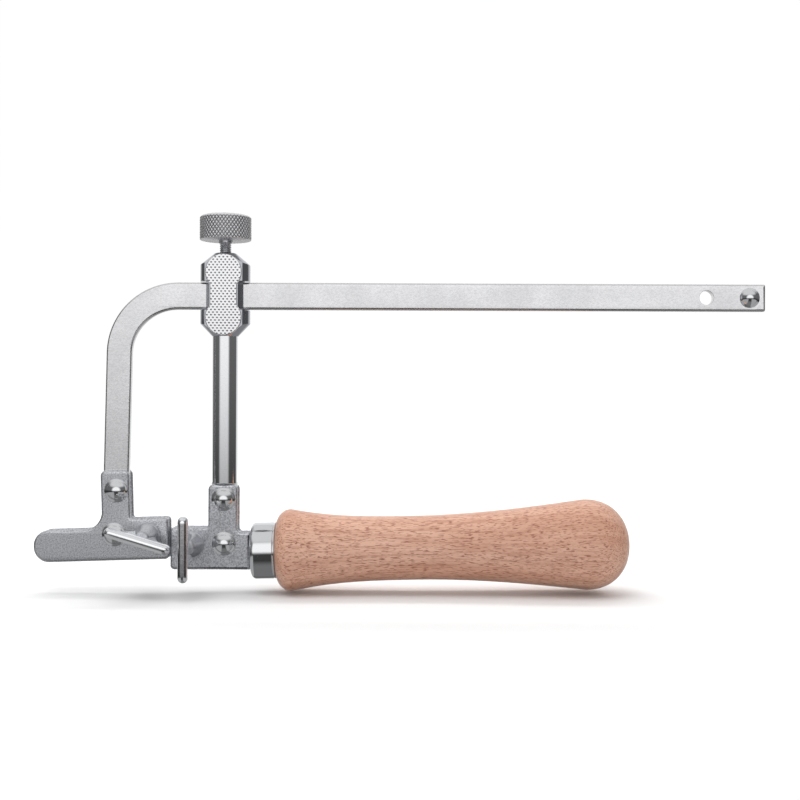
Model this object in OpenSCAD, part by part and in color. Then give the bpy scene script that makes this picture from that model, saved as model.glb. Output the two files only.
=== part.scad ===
// Adjustable jeweller's saw frame, shown closed and without a blade.
// Origin: middle of the handle, on its axis. +X runs along the back bar away from the
// bent leg, +Z points from the blade line up to the bar, and -Y is the front, where the
// wing screws are.

/* [Back bar] */
// Height of the bar's cross-section
bar_w = 9; // [8.6:0.1:9.4]
// Thickness of the bar's cross-section
bar_t = 3; // [2.8:0.1:3.2]
// Height of the bar's centre line above the handle's middle
bar_z = 83.2; // [80:0.1:86]
// Free end of the bar
bar_end_x = 103.6; // [100:0.1:110]
// Width of the bent leg
leg_w = 8.4; // [8:0.1:9]
// Left edge of the leg where the bend ends
leg_x = -115.3; // [-118:0.1:-113]
// Outward lean of the leg, in degrees
leg_lean = 1.2; // [0:0.1:2]
// Outside radius of the bend
bend_outer_r = 23.8; // [20:0.1:26]
// Distance from the bar's end to the hanging hole
hang_hole_inset = 19.6; // [16:0.1:30]
// Radius of the hanging hole
hang_hole_r = 2.4; // [2:0.1:2.8]
// Distance from the bar's end to the stop rivet
stop_inset = 5.3; // [4.5:0.1:8]

/* [Clamp block and post] */
// Axis of the post, the clamp block and the thumb screw
post_x = -76; // [-77:0.1:-75]
// Radius of the post
post_r = 4.2; // [4:0.1:4.4]
// Largest radius of the clamp block
block_r = 8.25; // [8:0.05:8.6]
// Lower end of the clamp block
block_bottom_z = 69.8; // [69:0.1:71]
// Upper end of the clamp block
block_top_z = 97.4; // [97:0.1:99]
// Distance from the axis to the milled front and back flats
block_flat_y = 4.6; // [4.4:0.1:4.8]
// Thickness of each chequered pad on the flats
pad_t = 0.5; // [0.3:0.1:0.7]
// Radius of the round lobes of the chequered pads
pad_lobe_r = 6; // [5.6:0.1:6.2]

/* [Thumb screw] */
// Radius of the knurled head
knob_r = 8.55; // [8:0.05:9]
// Height of the knurled head
knob_h = 8.2; // [7:0.1:9]
// Underside of the knurled head when the bar is clamped
knob_z = 101.9; // [101:0.1:104]
// Outside radius of the screw threads
thread_r = 1.95; // [1.9:0.01:1.97]

/* [Jaws] */
// Thickness of one jaw cheek
cheek_t = 2; // [1.8:0.1:2.2]
// Upward tilt of the front jaw's free end towards the rear jaw, in degrees
front_jaw_tilt = 1.8; // [0:0.1:2]
// Radius of the rivet shanks
rivet_r = 2; // [1.8:0.1:2.2]
// Radius of the rivets' domed heads
rivet_head_r = 3.95; // [3.6:0.05:4]
// Height of the rivets' domed heads
rivet_head_h = 2.2; // [1.8:0.1:2.4]

/* [Wing screws] */
// Half the span of the front wing
front_wing_half = 10.9; // [10:0.1:11]
// Half the span of the rear wing
rear_wing_half = 10.6; // [10:0.1:10.8]
// Turn of the front wing from the bar's direction, in degrees
front_wing_turn = -16.6; // [-20:0.1:-14]
// Turn of the rear wing from the bar's direction, in degrees
rear_wing_turn = 90; // [86:1:94]
// Thickness of the wings' outer band
wing_band_t = 3.2; // [2.8:0.1:3.4]
// Distance from the saw's middle plane to the wings' outer edge
wing_reach = 20.8; // [19:0.1:22]

/* [Handle] */
// Length of the wooden handle outside the ferrule
handle_len = 117.2; // [110:0.1:120]
// Radius of the bulge behind the ferrule
handle_front_r = 13.6; // [13:0.1:14]
// Radius of the waist
handle_waist_r = 10.6; // [10:0.1:11]
// Radius of the palm bulge
handle_rear_r = 15; // [14:0.1:16]
// Tilt of the handle's rear end towards the bar, in degrees
handle_tilt = 1.3; // [1:0.1:1.6]
// Outside radius of the ferrule
ferrule_r = 9.3; // [9:0.1:9.6]
// Visible length of the ferrule
ferrule_len = 8.2; // [7.8:0.1:8.6]

/* [Hidden] */
$fn = 64;
running = 0.05;                      // radial clearance of a running fit
slip = 0.15;                         // clearance each side of the sliding bar
gap = bar_t;                         // space between the two cheeks of a jaw
cheek_in = gap / 2;                  // inner face of a cheek
cheek_out = cheek_in + cheek_t;      // outer face of a cheek

// bar
bar_top = bar_z + bar_w / 2;
bar_bottom = bar_z - bar_w / 2;
bend_x = leg_x + bend_outer_r;
bend_z = bar_top - bend_outer_r;
bend_steps = 32;                     // straight steps round the bend
leg_len = 64.4;                      // straight length of the leg below the bend
stop_x = bar_end_x - stop_inset;
stop_shank_r = 1.6;
stop_head_r = 3.3;
stop_head_h = 2;

// clamp block
cone_top_r = 3.6;                    // radius of the small flat on top
cone_top_h = 3.9;                    // height of the upper cone
cone_bottom_h = 4.2;                 // height of the lower cone
pad_y = block_flat_y + pad_t;
waist_face = 4.45;                   // half-width of the pad where the bar passes
waist_body = 6.15;                   // half-width of the block where the bar passes
waist_y = 1.9;                       // where the waist's slanted sides start
waist_slack = 0.3;                   // height of the side notches beyond the bar
lobe_high_z = block_top_z - 0.5 - pad_lobe_r;
lobe_low_z = block_bottom_z + pad_lobe_r + 0.1;
spigot_r = 3;                        // turned end of the post, pressed into the block
spigot_top_z = bar_bottom - 1.4;
plug_r = 2.45;                       // pressure plug between the screw and the bar
plug_h = 3;
plug_z = bar_top + running;
plug_bore_top = plug_z + plug_h + 1.4;
thread_bore_r = thread_r + running;
neck_r = 2.3;                        // plain neck under the knurled head
neck_h = 1.2;
knob_chamfer = 0.7;
knob_bore_h = 6;

// jaws
front_pivot = [-111.7, 4.2];         // reference point of the front jaw's outline
front_rivets = [[-111.3, 18.6], [-112, 4.1]];
front_screw = [-100.9, 3.75];
rear_rivets = [[-75.9, 15.9], [-75.7, 1.2]];
rear_screw = [-86.4, 1.1];
arm_corner = 1.9;                    // rounding of the arms' upper corners
nose_corner = 1.3;                   // rounding of the clamping ends' corners
jaw_bush_r = 3.2;
bush_flange_r = 4.3;
bush_flange_t = 1;
rear_arm = [-81, -71.3];             // sides of the rear jaw's arm
rear_top = 20.8;
rear_left = -93.45;
rear_bottom = -7.45;
ferrule_x = -66.8;                   // front face of the ferrule, along the handle axis
rear_cheek_end = ferrule_x - 0.2;    // the cheeks stop just short of the tilted ferrule
tongue_bottom = 9.6;                 // lower end of the post's flat tongue
tang_left = -80.4;
tang_z = [-6, 4.2];                  // lower and upper edge of the flat tang
tang_depth = 5.2;                    // how far the flat tang reaches into the ferrule
tang_rod_r = 2.5;
tang_rod_end = -10;

// blade clamp
blade_gap = 0.25;                    // room for the blade behind each pad at rest
clamp_pad_t = 1.7;
clamp_pad_w = 8;
clamp_pad_h = 9;
clamp_pad_y = cheek_in - blade_gap;  // pressing face of a pad
socket_r = 1.55;
socket_depth = 0.9;
nose_r = socket_r - running;
hub_y = cheek_out + bush_flange_t + 0.5;
hub_r = 4.2;
hub_top_r = 2.5;
hub_top_y = 13.4;
wing_web_t = 2.4;
band_h = 4.3;                        // depth of the wing's outer band
band_corner = 1.9;
web_foot_y = 7.2;
web_foot = 3.6;                      // half-width of the web where it enters the hub
web_flare = [0.55, 0.45, 5];         // straight share, curved share and power of the flare

// handle
ferrule_wall = 0.8;
ferrule_lip_r = 1.5;
tenon_r = ferrule_r - ferrule_wall;
handle_front_x = -handle_len / 2;
front_bulge_s = 5;                   // distance of the front bulge from the wood's shoulder
waist_s = 46;
rear_bulge_s = 102.5;
shoulder_r = 8;
profile_steps = 12;

// ---- helpers ----

// Extrudes a drawing made in the X-Z plane from y0 to y1.
module slab(y0, y1) {
    rotate([90, 0, 0]) translate([0, 0, -y1]) linear_extrude(y1 - y0) children();
}

// Turns a child that stands on +Z so that it points to the front, -Y.
module to_front(at, y = 0) {
    translate([at[0], -y, at[1]]) rotate([90, 0, 0]) children();
}

module round_rect(x0, z0, x1, z1, r) {
    translate([x0 + r, z0]) square([x1 - x0 - 2 * r, z1 - z0]);
    translate([x0, z0 + r]) square([x1 - x0, z1 - z0 - 2 * r]);
    for (x = [x0 + r, x1 - r], z = [z0 + r, z1 - r]) translate([x, z]) circle(r);
}

// Fills an inside corner at (x, z); sx and sz point into the open side.
module fillet(x, z, sx, sz, r) {
    difference() {
        translate([x + (sx > 0 ? -0.1 : -r), z + (sz > 0 ? -0.1 : -r)]) square(r + 0.1);
        translate([x + sx * r, z + sz * r]) circle(r);
    }
}

module dome(r, h) {
    ball = (r * r + h * h) / (2 * h);
    intersection() {
        translate([0, 0, h - ball]) sphere(ball);
        translate([-r, -r, 0]) cube([2 * r, 2 * r, h]);
    }
}

// A rivet through both cheeks, domed at the front and at the back.
module rivet(at, half_grip, shank, head_r, head_h) {
    to_front(at, -half_grip) cylinder(r = shank, h = 2 * half_grip);
    to_front(at, half_grip) dome(head_r, head_h);
    translate([at[0], half_grip, at[1]]) rotate([-90, 0, 0]) dome(head_r, head_h);
}

module hole_through(at, r) {
    translate([at[0], 10, at[1]]) rotate([90, 0, 0]) cylinder(r = r, h = 20);
}

// ---- back bar and what is fixed to it ----

// A point of the bend, at an angle measured from the bar's direction and a distance from
// the bend's centre.
function bend_point(angle, r) = [bend_x + r * cos(angle), bend_z + r * sin(angle)];

// Inside radius of the bend, easing from the bar's width to the leg's.
function inner_radius(t) = bend_outer_r - bar_w + (bar_w - leg_w) * (3 - 2 * t) * t * t;

module bar_outline() {
    end_angle = 180 - leg_lean;
    foot = [-leg_len * sin(leg_lean), -leg_len * cos(leg_lean)];
    outer = [for (i = [0:bend_steps]) bend_point(90 + (end_angle - 90) * i / bend_steps,
        bend_outer_r)];
    inner = [for (i = [bend_steps:-1:0]) bend_point(90 + (end_angle - 90) * i / bend_steps,
        inner_radius(i / bend_steps))];
    polygon(concat([[bar_end_x, bar_bottom], [bar_end_x, bar_top]], outer,
        [outer[bend_steps] + foot, inner[0] + foot], inner));
}

module back_bar() {
    color([0.84, 0.84, 0.85]) difference() {
        slab(-bar_t / 2, bar_t / 2) bar_outline();
        hole_through([bar_end_x - hang_hole_inset, bar_z], hang_hole_r);
        hole_through([stop_x, bar_z], stop_shank_r);
        for (p = front_rivets) hole_through(p, rivet_r);
    }
}

module stop_rivet() {
    color([0.72, 0.73, 0.75])
        rivet([stop_x, bar_z], bar_t / 2, stop_shank_r, stop_head_r, stop_head_h);
}

module front_cheek_outline() {
    arm = [-4.35, 5.1];
    arm_top = 21.1;
    tail_top = 1.8;
    tail_left = -27.1;
    bottom = -8.75;
    nose_top = 5;
    nose_right = 17.6;
    tail_corner = 5;
    tail_fillet = 5.6;
    nose_fillet = 0.8;
    translate(front_pivot) rotate(front_jaw_tilt) {
        round_rect(arm[0], bottom, arm[1], arm_top, arm_corner);
        round_rect(tail_left, bottom, arm[1], tail_top, tail_corner);
        round_rect(arm[0], bottom, nose_right, nose_top, nose_corner);
        fillet(arm[0], tail_top, -1, 1, tail_fillet);
        fillet(arm[1], nose_top, 1, 1, nose_fillet);
    }
}

module front_jaw_front_cheek() {
    color([0.6, 0.61, 0.63]) difference() {
        slab(-cheek_out, -cheek_in) front_cheek_outline();
        for (p = front_rivets) hole_through(p, rivet_r);
        hole_through(front_screw, jaw_bush_r);
    }
}

module front_jaw_rear_cheek() {
    color([0.6, 0.61, 0.63]) difference() {
        slab(cheek_in, cheek_out) front_cheek_outline();
        for (p = front_rivets) hole_through(p, rivet_r);
    }
}

module front_jaw_rivets() {
    color([0.78, 0.78, 0.8])
        for (p = front_rivets) rivet(p, cheek_out, rivet_r, rivet_head_r, rivet_head_h);
}

// Flanged threaded bush that carries a wing screw.
module screw_bush(at) {
    difference() {
        union() {
            to_front(at, cheek_in) cylinder(r = jaw_bush_r, h = cheek_t);
            to_front(at, cheek_out) cylinder(r = bush_flange_r, h = bush_flange_t);
        }
        hole_through(at, thread_bore_r);
    }
}

module front_screw_bush() { color([0.75, 0.76, 0.78]) screw_bush(front_screw); }

// ---- clamp block, post and thumb screw ----

module block_pad_outline() {
    translate([post_x, lobe_high_z]) circle(pad_lobe_r);
    translate([post_x, lobe_low_z]) circle(pad_lobe_r);
    translate([post_x - waist_face, lobe_low_z])
        square([2 * waist_face, lobe_high_z - lobe_low_z]);
}

module block_turning() {
    translate([post_x, 0, 0]) rotate_extrude($fn = 96) polygon([
        [0, block_bottom_z], [post_r + 0.05, block_bottom_z],
        [block_r, block_bottom_z + cone_bottom_h],
        [block_r, block_top_z - cone_top_h],
        [cone_top_r, block_top_z], [0, block_top_z]]);
}

// Cross-section, seen from above, that stays where the bar passes.
module waist_section() {
    polygon([[-waist_face, -pad_y], [waist_face, -pad_y],
        [waist_body, -waist_y], [waist_body, waist_y],
        [waist_face, pad_y], [-waist_face, pad_y],
        [-waist_body, waist_y], [-waist_body, -waist_y]]);
}

module clamp_block() {
    color([0.7, 0.71, 0.73]) difference() {
        union() {
            intersection() {
                block_turning();
                translate([post_x - 10, -block_flat_y, block_bottom_z - 1])
                    cube([20, 2 * block_flat_y, block_top_z - block_bottom_z + 2]);
            }
            slab(-pad_y, -block_flat_y + 0.2) block_pad_outline();
            slab(block_flat_y - 0.2, pad_y) block_pad_outline();
        }
        // side notches that leave the waist
        translate([post_x, 0, bar_bottom - waist_slack]) linear_extrude(bar_w + 2 * waist_slack)
            difference() {
                translate([-12, -12]) square(24);
                waist_section();
            }
        // slot for the bar
        translate([post_x - 12, -bar_t / 2 - slip, bar_bottom - slip])
            cube([24, bar_t + 2 * slip, bar_w + 2 * slip]);
        // spigot hole, pressure plug bore and threaded bore
        translate([post_x, 0, block_bottom_z - 1]) cylinder(r = spigot_r,
            h = spigot_top_z - block_bottom_z + 1);
        translate([post_x, 0, bar_top]) cylinder(r = plug_r + running,
            h = plug_bore_top - bar_top);
        translate([post_x, 0, bar_top]) cylinder(r = thread_bore_r, h = block_top_z - bar_top + 1);
    }
}

module post() {
    color([0.8, 0.81, 0.83]) difference() {
        union() {
            translate([post_x, 0, rear_top]) cylinder(r = post_r, h = block_bottom_z - rear_top);
            translate([post_x, 0, block_bottom_z - 1])
                cylinder(r = spigot_r, h = spigot_top_z - block_bottom_z + 1);
            translate([post_x - post_r, -gap / 2, tongue_bottom])
                cube([2 * post_r, gap, rear_top - tongue_bottom + 0.5]);
        }
        hole_through(rear_rivets[0], rivet_r);
    }
}

module pressure_plug() {
    color([0.78, 0.66, 0.36])
        translate([post_x, 0, plug_z]) cylinder(r = plug_r, h = plug_h);
}

module thumb_screw_shank() {
    tip_z = plug_z + plug_h + running;
    color([0.55, 0.56, 0.58]) translate([post_x, 0, 0]) {
        translate([0, 0, tip_z]) cylinder(r = thread_r, h = knob_z - tip_z + knob_bore_h);
        translate([0, 0, knob_z - neck_h]) cylinder(r = neck_r, h = neck_h);
    }
}

module thumb_screw_knob() {
    color([0.66, 0.67, 0.69]) translate([post_x, 0, knob_z]) difference() {
        union() {
            cylinder(r = knob_r, h = knob_h - knob_chamfer);
            translate([0, 0, knob_h - knob_chamfer])
                cylinder(r1 = knob_r, r2 = knob_r - knob_chamfer, h = knob_chamfer);
        }
        translate([0, 0, -1]) cylinder(r = thread_r, h = knob_bore_h + 1);
    }
}

// ---- rear jaw ----

module rear_cheek_outline() {
    right_top = 4.9;
    left_top = 6.5;
    left_fillet = 1;
    right_fillet = 1.3;
    round_rect(rear_arm[0], rear_bottom, rear_arm[1], rear_top, arm_corner);
    round_rect(rear_left, rear_bottom, rear_arm[1], left_top, nose_corner);
    translate([rear_arm[0], rear_bottom])
        square([rear_cheek_end - rear_arm[0], right_top - rear_bottom]);
    fillet(rear_arm[0], left_top, -1, 1, left_fillet);
    fillet(rear_arm[1], right_top, 1, 1, right_fillet);
}

module rear_jaw_front_cheek() {
    color([0.58, 0.59, 0.61]) difference() {
        slab(-cheek_out, -cheek_in) rear_cheek_outline();
        for (p = rear_rivets) hole_through(p, rivet_r);
        hole_through(rear_screw, jaw_bush_r);
    }
}

module rear_jaw_rear_cheek() {
    color([0.58, 0.59, 0.61]) difference() {
        slab(cheek_in, cheek_out) rear_cheek_outline();
        for (p = rear_rivets) hole_through(p, rivet_r);
    }
}

module rear_jaw_rivets() {
    color([0.78, 0.78, 0.8])
        for (p = rear_rivets) rivet(p, cheek_out, rivet_r, rivet_head_r, rivet_head_h);
}

module rear_screw_bush() { color([0.75, 0.76, 0.78]) screw_bush(rear_screw); }

// ---- blade clamps: pad, threaded stud and wing ----

module clamp_pad(at, turn) {
    translate([at[0], 0, at[1]]) rotate([0, -turn, 0]) difference() {
        translate([-clamp_pad_w / 2, clamp_pad_y - clamp_pad_t, -clamp_pad_h / 2])
            cube([clamp_pad_w, clamp_pad_t, clamp_pad_h]);
        translate([0, clamp_pad_y - clamp_pad_t + socket_depth, 0]) rotate([90, 0, 0])
            cylinder(r = socket_r, h = socket_depth + 1);
    }
}

module wing_stud(at, turn) {
    shoulder = clamp_pad_y - clamp_pad_t - running;
    difference() {
        union() {
            to_front(at, -(shoulder + socket_depth)) cylinder(r = nose_r, h = socket_depth + 0.2);
            to_front(at, -shoulder) cylinder(r = thread_r, h = hub_y + shoulder + 0.1);
            to_front(at, hub_y) cylinder(r1 = hub_r, r2 = hub_top_r, h = hub_top_y - hub_y);
        }
        translate([at[0], 0, at[1]]) rotate([0, -turn, 0])
            translate([-10, -wing_reach, -wing_web_t / 2])
                cube([20, wing_reach - web_foot_y, wing_web_t]);
    }
}

// Flat drawing of a wing: x along the span, y away from the saw.
module wing_band_outline(half) {
    round_rect(-half, wing_reach - band_h, half, wing_reach, band_corner);
}

module wing_web_outline(half) {
    flare = half - band_corner - web_foot;
    rise = wing_reach - band_h / 2 - web_foot_y;
    edge = [for (i = [0:profile_steps]) let (t = i / profile_steps)
        [web_foot + flare * (web_flare[0] * t + web_flare[1] * pow(t, web_flare[2])),
            web_foot_y + rise * t]];
    mirrored = [for (i = [profile_steps:-1:0]) [-edge[i][0], edge[i][1]]];
    polygon(concat(edge, mirrored));
}

module wing(at, turn, half) {
    translate([at[0], 0, at[1]]) rotate([0, -turn, 0]) {
        translate([0, 0, -wing_band_t / 2]) linear_extrude(wing_band_t)
            mirror([0, 1]) wing_band_outline(half);
        translate([0, 0, -wing_web_t / 2]) linear_extrude(wing_web_t)
            mirror([0, 1]) wing_web_outline(half);
    }
}

module front_clamp_pad() { color([0.7, 0.71, 0.73]) clamp_pad(front_screw, front_jaw_tilt); }
module front_wing_stud() { color([0.8, 0.81, 0.83]) wing_stud(front_screw, front_wing_turn); }
module front_wing() { color([0.82, 0.83, 0.85]) wing(front_screw, front_wing_turn, front_wing_half); }
module rear_clamp_pad() { color([0.7, 0.71, 0.73]) clamp_pad(rear_screw, 0); }
module rear_wing_stud() { color([0.8, 0.81, 0.83]) wing_stud(rear_screw, rear_wing_turn); }
module rear_wing() { color([0.82, 0.83, 0.85]) wing(rear_screw, rear_wing_turn, rear_wing_half); }

// ---- handle, ferrule and tang ----

// Puts a child that is turned about +Z onto the handle's tilted axis.
module on_handle_axis() {
    rotate([0, 90 - handle_tilt, 0]) children();
}

function front_shoulder(s) = let (t = 1 - s / front_bulge_s)
    shoulder_r + (handle_front_r - shoulder_r) * sqrt(max(0, 1 - t * t));
function front_taper(s) = let (t = (s - front_bulge_s) / (waist_s - front_bulge_s))
    handle_waist_r + (handle_front_r - handle_waist_r) * pow(1 - t, 3);
function rear_flare(s) = let (t = (s - waist_s) / (rear_bulge_s - waist_s))
    handle_waist_r + (handle_rear_r - handle_waist_r) * t * t * (1.35 - 0.35 * t);
function rear_dome(s) = let (t = (s - rear_bulge_s) / (handle_len - rear_bulge_s))
    handle_rear_r * pow(max(0, 1 - pow(t, 2.2)), 1 / 2.2);

module handle_profile() {
    n = profile_steps;
    points = concat(
        [for (i = [0:n - 1]) let (s = front_bulge_s * (1 - cos(90 * i / n))) [front_shoulder(s), s]],
        [for (i = [0:n - 1]) let (s = front_bulge_s + (waist_s - front_bulge_s) * i / n)
            [front_taper(s), s]],
        [for (i = [0:n - 1]) let (s = waist_s + (rear_bulge_s - waist_s) * i / n)
            [rear_flare(s), s]],
        [for (i = [0:n - 1]) let (s = rear_bulge_s + (handle_len - rear_bulge_s) * sin(90 * i / n))
            [rear_dome(s), s]]);
    translate([0, handle_front_x])
        polygon(concat([[0, 0]], points, [[0, handle_len]]));
}

module handle() {
    color([0.8, 0.62, 0.52]) difference() {
        on_handle_axis() {
            rotate_extrude($fn = 96) handle_profile();
            translate([0, 0, handle_front_x - ferrule_len + 1]) cylinder(r = tenon_r, h = ferrule_len);
        }
        on_handle_axis() translate([0, 0, handle_front_x - ferrule_len - 1])
            cylinder(r = tang_rod_r, h = tang_rod_end - handle_front_x + ferrule_len + 1);
        translate([ferrule_x, -gap / 2, tang_z[0]])
            cube([tang_depth, gap, tang_z[1] - tang_z[0]]);
    }
}

module ferrule() {
    color([0.82, 0.83, 0.85]) difference() {
        on_handle_axis() translate([0, 0, ferrule_x]) rotate_extrude($fn = 96) difference() {
            union() {
                square([ferrule_r - ferrule_lip_r, ferrule_len]);
                translate([0, ferrule_lip_r]) square([ferrule_r, ferrule_len - ferrule_lip_r]);
                translate([ferrule_r - ferrule_lip_r, ferrule_lip_r]) circle(ferrule_lip_r);
            }
            translate([-1, ferrule_wall]) square([tenon_r + 1, ferrule_len]);
            translate([-20, -1]) square([20, 40]);
        }
        translate([ferrule_x - 2, -gap / 2, tang_z[0]]) cube([8, gap, tang_z[1] - tang_z[0]]);
    }
}

module tang() {
    color([0.6, 0.61, 0.63]) difference() {
        union() {
            translate([tang_left, -gap / 2, tang_z[0]])
                cube([ferrule_x + tang_depth - tang_left, gap, tang_z[1] - tang_z[0]]);
            on_handle_axis() translate([0, 0, ferrule_x + 4]) cylinder(r = tang_rod_r,
                h = tang_rod_end - ferrule_x - 4);
        }
        hole_through(rear_rivets[1], rivet_r);
    }
}

handle();
ferrule();
tang();
rear_jaw_front_cheek();
rear_jaw_rear_cheek();
rear_jaw_rivets();
post();
clamp_block();
rear_screw_bush();
back_bar();
stop_rivet();
front_jaw_front_cheek();
front_jaw_rear_cheek();
front_jaw_rivets();
front_screw_bush();
pressure_plug();
thumb_screw_shank();
thumb_screw_knob();
front_clamp_pad();
front_wing_stud();
front_wing();
rear_clamp_pad();
rear_wing_stud();
rear_wing();
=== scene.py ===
import math

import bmesh
import bpy
from mathutils import Matrix, Vector
from mathutils.geometry import tessellate_polygon


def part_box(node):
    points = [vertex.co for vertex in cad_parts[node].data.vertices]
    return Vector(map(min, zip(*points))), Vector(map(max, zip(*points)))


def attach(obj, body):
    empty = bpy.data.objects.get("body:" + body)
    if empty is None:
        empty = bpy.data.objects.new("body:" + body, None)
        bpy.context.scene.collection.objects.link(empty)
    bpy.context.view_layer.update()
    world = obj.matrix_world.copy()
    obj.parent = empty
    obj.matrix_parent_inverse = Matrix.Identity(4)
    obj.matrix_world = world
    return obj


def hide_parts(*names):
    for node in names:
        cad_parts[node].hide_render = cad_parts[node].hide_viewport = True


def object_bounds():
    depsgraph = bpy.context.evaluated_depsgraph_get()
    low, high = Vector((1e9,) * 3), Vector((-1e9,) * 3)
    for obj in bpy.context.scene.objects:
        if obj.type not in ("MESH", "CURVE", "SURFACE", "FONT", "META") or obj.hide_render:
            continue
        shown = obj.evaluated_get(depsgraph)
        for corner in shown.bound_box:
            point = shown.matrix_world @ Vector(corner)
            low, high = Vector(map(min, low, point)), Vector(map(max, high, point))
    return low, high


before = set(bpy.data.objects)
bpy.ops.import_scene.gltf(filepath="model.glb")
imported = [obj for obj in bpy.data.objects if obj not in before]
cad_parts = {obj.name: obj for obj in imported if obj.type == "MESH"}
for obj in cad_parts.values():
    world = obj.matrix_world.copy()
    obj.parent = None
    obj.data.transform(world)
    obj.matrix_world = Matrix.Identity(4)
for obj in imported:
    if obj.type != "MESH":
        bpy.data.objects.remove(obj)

cad_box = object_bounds()

# Shapes are worked out in millimetres and scaled to metres when a mesh is made.
MM = 0.001
ROUND = 96          # steps round a turned piece
EDGE_STEPS = 5      # steps across a rounded edge

# ---- driving dimensions, in millimetres ----

BAR_W = 9.0
BAR_EDGE = 0.75
LEG_W = 8.4
LEG_LEAN = 1.2
BEND_OUTER_R = 23.8
HANG_HOLE_R = 2.4
HANG_HOLE_INSET = 19.6

CHEEK_EDGE = 0.85
FRONT_PIVOT = (-111.7, 4.2)
FRONT_TILT = 1.8
FRONT_RIVETS = ((-111.3, 18.6), (-112.0, 4.1))
FRONT_SCREW = (-100.9, 3.75)
REAR_RIVETS = ((-75.9, 15.9), (-75.7, 1.2))
REAR_SCREW = (-86.4, 1.1)
RIVET_R = 2.0
BUSH_R = 3.2
THREAD_R = 1.95
THREAD_PITCH = 0.7

FRONT_WING_TURN = -16.6
REAR_WING_TURN = 90.0
WING_BAND_T = 3.2
WING_WEB_T = 2.4

WAIST_FACE = 4.45
WAIST_BODY = 6.15
WAIST_Y = 1.9
BLOCK_FLAT_Y = 4.6
PAD_LOBE_R = 6.0
PLUG_BORE_R = 2.5
HANDLE_TILT = 1.3

# places along the handle's axis, from the middle of the wood
FERRULE_FRONT = -66.8
WOOD_FRONT = -58.6
TANG_RIGHT = -61.6


def mm_box(node):
    """A CAD node's lowest and highest corner, in millimetres."""
    low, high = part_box(node)
    return low / MM, high / MM


bar_low, bar_high = mm_box("back_bar")
block_low, block_high = mm_box("clamp_block")
knob_low, knob_high = mm_box("thumb_screw_knob")
post_low, post_high = mm_box("post")
BAR_TOP = bar_high.z
BAR_BOTTOM = BAR_TOP - BAR_W
BAR_FRONT, BAR_BACK = bar_low.y, bar_high.y
BAR_MIDDLE = (BAR_TOP + BAR_BOTTOM) / 2
POST_X = (knob_low.x + knob_high.x) / 2


# ---- mesh helpers ----

def make_object(name, verts, faces, scale=MM):
    mesh = bpy.data.meshes.new(name)
    mesh.from_pydata([Vector(v) * scale for v in verts], [], faces)
    mesh.validate()
    work = bmesh.new()
    work.from_mesh(mesh)
    bmesh.ops.recalc_face_normals(work, faces=work.faces)
    work.to_mesh(mesh)
    work.free()
    made = bpy.data.objects.new(name, mesh)
    bpy.context.scene.collection.objects.link(made)
    return made


def smooth(piece, sharp_angle=50):
    """Smooth shading that keeps flat faces flat and edges over sharp_angle degrees sharp."""
    piece.data.shade_smooth()
    piece.data.set_sharp_from_angle(angle=math.radians(sharp_angle))
    normals = piece.modifiers.new("normals", "WEIGHTED_NORMAL")
    normals.keep_sharp = True
    return piece


def finish_piece(piece, body, slot, material, *replaced):
    piece.data.materials.clear()
    piece.data.materials.append(material)
    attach(piece, body)
    if replaced:
        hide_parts(*replaced)
    return piece


def apply_modifiers(piece):
    graph = bpy.context.evaluated_depsgraph_get()
    mesh = bpy.data.meshes.new_from_object(piece.evaluated_get(graph))
    piece.modifiers.clear()
    piece.data = mesh
    return piece


def join(name, parts):
    """One object holding the meshes of parts."""
    work = bmesh.new()
    for part in parts:
        work.from_mesh(part.data)
        bpy.data.objects.remove(part)
    mesh = bpy.data.meshes.new(name)
    work.to_mesh(mesh)
    work.free()
    made = bpy.data.objects.new(name, mesh)
    bpy.context.scene.collection.objects.link(made)
    return made


def boolean(piece, cutter, operation):
    step = piece.modifiers.new(operation, "BOOLEAN")
    step.operation = operation
    step.object = cutter
    step.solver = "EXACT"
    apply_modifiers(piece)
    bpy.data.objects.remove(cutter)
    return piece


def bevel(piece, width, segments=3, angle=35):
    step = piece.modifiers.new("bevel", "BEVEL")
    step.width = width * MM
    step.segments = segments
    step.limit_method = "ANGLE"
    step.angle_limit = math.radians(angle)
    step.harden_normals = False
    return apply_modifiers(piece)


def rounded(corners, closed=True, steps=8):
    """Outline through corners (x, y, r), each rounded with radius r."""
    points = []
    count = len(corners)
    for i, (x, y, r) in enumerate(corners):
        corner = Vector((x, y))
        ends = not closed and i in (0, count - 1)
        if r == 0 or ends:
            points.append(corner)
            continue
        before = Vector(corners[i - 1][:2])
        after = Vector(corners[(i + 1) % count][:2])
        to_before = (before - corner).normalized()
        to_after = (after - corner).normalized()
        half = to_before.angle(to_after) / 2
        centre = corner + (to_before + to_after).normalized() * r / math.sin(half)
        start = corner + to_before * r / math.tan(half) - centre
        end = corner + to_after * r / math.tan(half) - centre
        sweep = start.angle_signed(end)
        for k in range(steps + 1):
            turn = Matrix.Rotation(-sweep * k / steps, 2)
            points.append(centre + turn @ start)
    return points


def circle(x, z, r, steps=40):
    return [Vector((x + r * math.cos(math.tau * k / steps), z + r * math.sin(math.tau * k / steps)))
            for k in range(steps)]


def outward_normals(points):
    """Mitred unit offsets that point out of a closed anticlockwise outline."""
    normals = []
    count = len(points)
    for i, point in enumerate(points):
        along_in = (point - points[i - 1]).normalized()
        along_out = (points[(i + 1) % count] - point).normalized()
        a = Vector((along_in.y, -along_in.x))
        b = Vector((along_out.y, -along_out.x))
        middle = (a + b).normalized()
        normals.append(middle / max(0.3, middle.dot(a)))
    return normals


def anticlockwise(points):
    area = sum(points[i - 1].cross(p) for i, p in enumerate(points))
    return points if area > 0 else points[::-1]


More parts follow.
